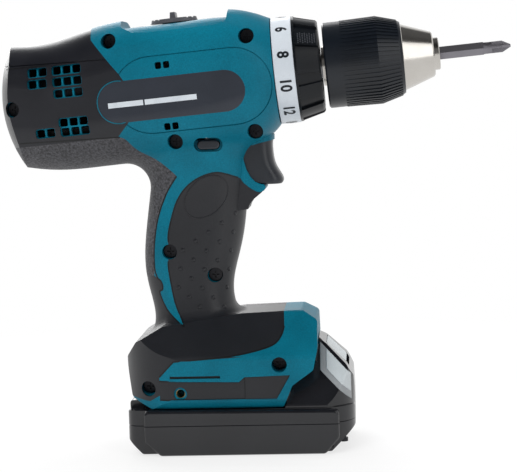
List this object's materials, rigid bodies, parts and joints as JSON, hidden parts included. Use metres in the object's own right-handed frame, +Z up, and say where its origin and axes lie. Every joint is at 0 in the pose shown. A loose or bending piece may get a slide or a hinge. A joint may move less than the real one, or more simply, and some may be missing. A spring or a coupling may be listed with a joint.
{
  "type": "cordless drill driver",
  "caption": "Pistol-grip cordless drill driver: geared spindle with keyless chuck, torque ring, trigger, speed and reverse selectors, and a slide-on battery under the foot.",
  "frame": {"origin": "middle of the battery's flat underside, where the standing drill rests", "axes": "+Z up, +X forward towards the chuck, +Y towards the drill's left side"},
  "size_m": [0.2571, 0.074, 0.2207],
  "materials": {
    "teal_nylon": "fine spark texture",
    "black_elastomer": "smooth matt",
    "textured_elastomer": "pebbled",
    "black_nylon": "satin",
    "battery_plastic": "semi-gloss",
    "grey_plastic": "satin",
    "silver_plastic": "satin",
    "label_film": "satin",
    "chromed_steel": "polished",
    "steel": "machined",
    "dark_steel": "blackened",
    "spring_steel": "bright",
    "brass": "machined",
    "copper": "enamelled wire",
    "carbon": "matt",
    "clear_lens": "clear",
    "cell_wrap": "shrink film",
    "board_green": "lacquered"
  },
  "bodies": {
    "housing": {"right_housing": "teal_nylon", "left_housing": "teal_nylon", "right_motor_cover": "black_elastomer", "left_motor_cover": "black_elastomer", "right_grip": "black_elastomer", "left_grip": "black_elastomer", "back_grip": "textured_elastomer", "label_plate": "label_film", "housing_screws": "dark_steel", "hook_inserts": "brass", "led_lens": "clear_lens", "switch_body": "black_nylon", "trigger_spring": "spring_steel", "terminal_block": "black_nylon", "motor_can": "steel", "motor_magnets": "carbon", "brush_holder": "black_nylon", "motor_brushes": "carbon", "ring_gears": "steel", "gear_case": "grey_plastic", "spindle_bearings": "steel", "clutch_spring": "spring_steel", "thrust_washer": "steel"},
    "selector": {"speed_selector": "black_nylon"},
    "reverse": {"reverse_lever": "black_nylon"},
    "trigger_key": {"trigger": "black_nylon"},
    "rotor": {"armature": "steel", "windings": "copper", "commutator": "copper", "motor_fan": "black_nylon", "pinion": "steel"},
    "first_carrier": {"carrier_1": "steel"},
    "second_carrier": {"carrier_2": "steel"},
    "spindle_group": {"spindle": "steel", "chuck_body": "chromed_steel", "chuck_screw": "dark_steel"},
    "sleeve": {"chuck_sleeve": "black_nylon", "chuck_nut": "steel"},
    "torque_selector": {"torque_ring": "black_nylon", "torque_scale": "silver_plastic"},
    "driver_bit": {"bit": "steel"},
    "battery": {"battery_lower_case": "battery_plastic", "battery_upper_case": "battery_plastic", "battery_cells": "cell_wrap", "battery_board": "board_green", "battery_screws": "dark_steel", "release_spring": "spring_steel"},
    "battery_button": {"release_button": "grey_plastic"},
    "planet_1_1": {"planet_gear_1_1": "steel"},
    "planet_1_2": {"planet_gear_1_2": "steel"},
    "planet_1_3": {"planet_gear_1_3": "steel"},
    "planet_2_1": {"planet_gear_2_1": "steel"},
    "planet_2_2": {"planet_gear_2_2": "steel"},
    "planet_2_3": {"planet_gear_2_3": "steel"},
    "planet_3_1": {"planet_gear_3_1": "steel"},
    "planet_3_2": {"planet_gear_3_2": "steel"},
    "planet_3_3": {"planet_gear_3_3": "steel"},
    "chuck_jaw_1": {"jaw_1": "dark_steel"},
    "chuck_jaw_2": {"jaw_2": "dark_steel"},
    "chuck_jaw_3": {"jaw_3": "dark_steel"}
  },
  "joints": [
    {"name": "spindle_spin", "type": "hinge", "parent": "housing", "child": "spindle_group", "pos_m": [0, 0, 0.1875], "axis": [0.9968, 0, 0.0802], "continuous": true},
    {"name": "rotor_spin", "type": "hinge", "parent": "housing", "child": "rotor", "pos_m": [0, 0, 0.1875], "axis": [0.9968, 0, 0.0802], "continuous": true},
    {"name": "first_carrier_spin", "type": "hinge", "parent": "housing", "child": "first_carrier", "pos_m": [0, 0, 0.1875], "axis": [0.9968, 0, 0.0802], "continuous": true},
    {"name": "second_carrier_spin", "type": "hinge", "parent": "housing", "child": "second_carrier", "pos_m": [0, 0, 0.1875], "axis": [0.9968, 0, 0.0802], "continuous": true},
    {"name": "planet_1_1_spin", "type": "hinge", "parent": "first_carrier", "child": "planet_1_1", "pos_m": [-0.03849, 0, 0.19524], "axis": [0.9968, 0, 0.0802], "continuous": true},
    {"name": "planet_1_2_spin", "type": "hinge", "parent": "first_carrier", "child": "planet_1_2", "pos_m": [-0.0372, -0.00935, 0.17909], "axis": [0.9968, 0, 0.0802], "continuous": true},
    {"name": "planet_1_3_spin", "type": "hinge", "parent": "first_carrier", "child": "planet_1_3", "pos_m": [-0.0372, 0.00935, 0.17909], "axis": [0.9968, 0, 0.0802], "continuous": true},
    {"name": "planet_2_1_spin", "type": "hinge", "parent": "second_carrier", "child": "planet_2_1", "pos_m": [-0.02922, 0, 0.19598], "axis": [0.9968, 0, 0.0802], "continuous": true},
    {"name": "planet_2_2_spin", "type": "hinge", "parent": "second_carrier", "child": "planet_2_2", "pos_m": [-0.02793, -0.00935, 0.17984], "axis": [0.9968, 0, 0.0802], "continuous": true},
    {"name": "planet_2_3_spin", "type": "hinge", "parent": "second_carrier", "child": "planet_2_3", "pos_m": [-0.02793, 0.00935, 0.17984], "axis": [0.9968, 0, 0.0802], "continuous": true},
    {"name": "planet_3_1_spin", "type": "hinge", "parent": "spindle_group", "child": "planet_3_1", "pos_m": [-0.01995, 0, 0.19673], "axis": [0.9968, 0, 0.0802], "continuous": true},
    {"name": "planet_3_2_spin", "type": "hinge", "parent": "spindle_group", "child": "planet_3_2", "pos_m": [-0.01866, -0.00935, 0.18058], "axis": [0.9968, 0, 0.0802], "continuous": true},
    {"name": "planet_3_3_spin", "type": "hinge", "parent": "spindle_group", "child": "planet_3_3", "pos_m": [-0.01866, 0.00935, 0.18058], "axis": [0.9968, 0, 0.0802], "continuous": true},
    {"name": "sleeve_turn", "type": "hinge", "parent": "spindle_group", "child": "sleeve", "pos_m": [0, 0, 0.1875], "axis": [0.9968, 0, 0.0802], "range_deg": [0, 2230]},
    {"name": "jaw_1_slide", "type": "slide", "parent": "spindle_group", "child": "chuck_jaw_1", "axis": [-0.9917, 0, 0.1288], "range_m": [0, 0.0155]},
    {"name": "jaw_2_slide", "type": "slide", "parent": "spindle_group", "child": "chuck_jaw_2", "axis": [-0.9667, -0.1801, -0.1821], "range_m": [0, 0.0155]},
    {"name": "jaw_3_slide", "type": "slide", "parent": "spindle_group", "child": "chuck_jaw_3", "axis": [-0.9667, 0.1801, -0.1821], "range_m": [0, 0.0155]},
    {"name": "bit_pull", "type": "slide", "parent": "spindle_group", "child": "driver_bit", "axis": [0.9968, 0, 0.0802], "range_m": [0, 0.05]},
    {"name": "torque_turn", "type": "hinge", "parent": "housing", "child": "torque_selector", "pos_m": [0, 0, 0.1875], "axis": [0.9968, 0, 0.0802], "range_deg": [-210.6, 48.6]},
    {"name": "speed_select", "type": "slide", "parent": "housing", "child": "selector", "axis": [0.9968, 0, 0.0802], "range_m": [0, 0.0075]},
    {"name": "reverse_slide", "type": "slide", "parent": "housing", "child": "reverse", "axis": [0, 1, 0], "range_m": [-0.0035, 0.0035]},
    {"name": "trigger_pull", "type": "slide", "parent": "housing", "child": "trigger_key", "axis": [-1, 0, 0], "range_m": [0, 0.0065], "stiffness_N_per_m": 1200, "springref_m": -0.004, "deforming": ["trigger_spring"]},
    {"name": "battery_slide", "type": "slide", "parent": "housing", "child": "battery", "axis": [1, 0, 0], "range_m": [0, 0.1]},
    {"name": "release_press", "type": "slide", "parent": "battery", "child": "battery_button", "axis": [0, 0, -1], "range_m": [0, 0.003], "stiffness_N_per_m": 900, "springref_m": -0.003, "deforming": ["release_spring"]}
  ],
  "couplings": [
    {"joint": "rotor_spin", "follows": "spindle_spin", "ratio": 46.656},
    {"joint": "first_carrier_spin", "follows": "spindle_spin", "ratio": 12.96},
    {"joint": "second_carrier_spin", "follows": "spindle_spin", "ratio": 3.6},
    {"joint": "planet_1_1_spin", "follows": "spindle_spin", "ratio": -42.12},
    {"joint": "planet_1_2_spin", "follows": "spindle_spin", "ratio": -42.12},
    {"joint": "planet_1_3_spin", "follows": "spindle_spin", "ratio": -42.12},
    {"joint": "planet_2_1_spin", "follows": "spindle_spin", "ratio": -11.7},
    {"joint": "planet_2_2_spin", "follows": "spindle_spin", "ratio": -11.7},
    {"joint": "planet_2_3_spin", "follows": "spindle_spin", "ratio": -11.7},
    {"joint": "planet_3_1_spin", "follows": "spindle_spin", "ratio": -3.25},
    {"joint": "planet_3_2_spin", "follows": "spindle_spin", "ratio": -3.25},
    {"joint": "planet_3_3_spin", "follows": "spindle_spin", "ratio": -3.25},
    {"joint": "jaw_1_slide", "follows": "sleeve_turn", "m_per_rad": 0.00039789},
    {"joint": "jaw_2_slide", "follows": "sleeve_turn", "m_per_rad": 0.00039789},
    {"joint": "jaw_3_slide", "follows": "sleeve_turn", "m_per_rad": 0.00039789}
  ]
}
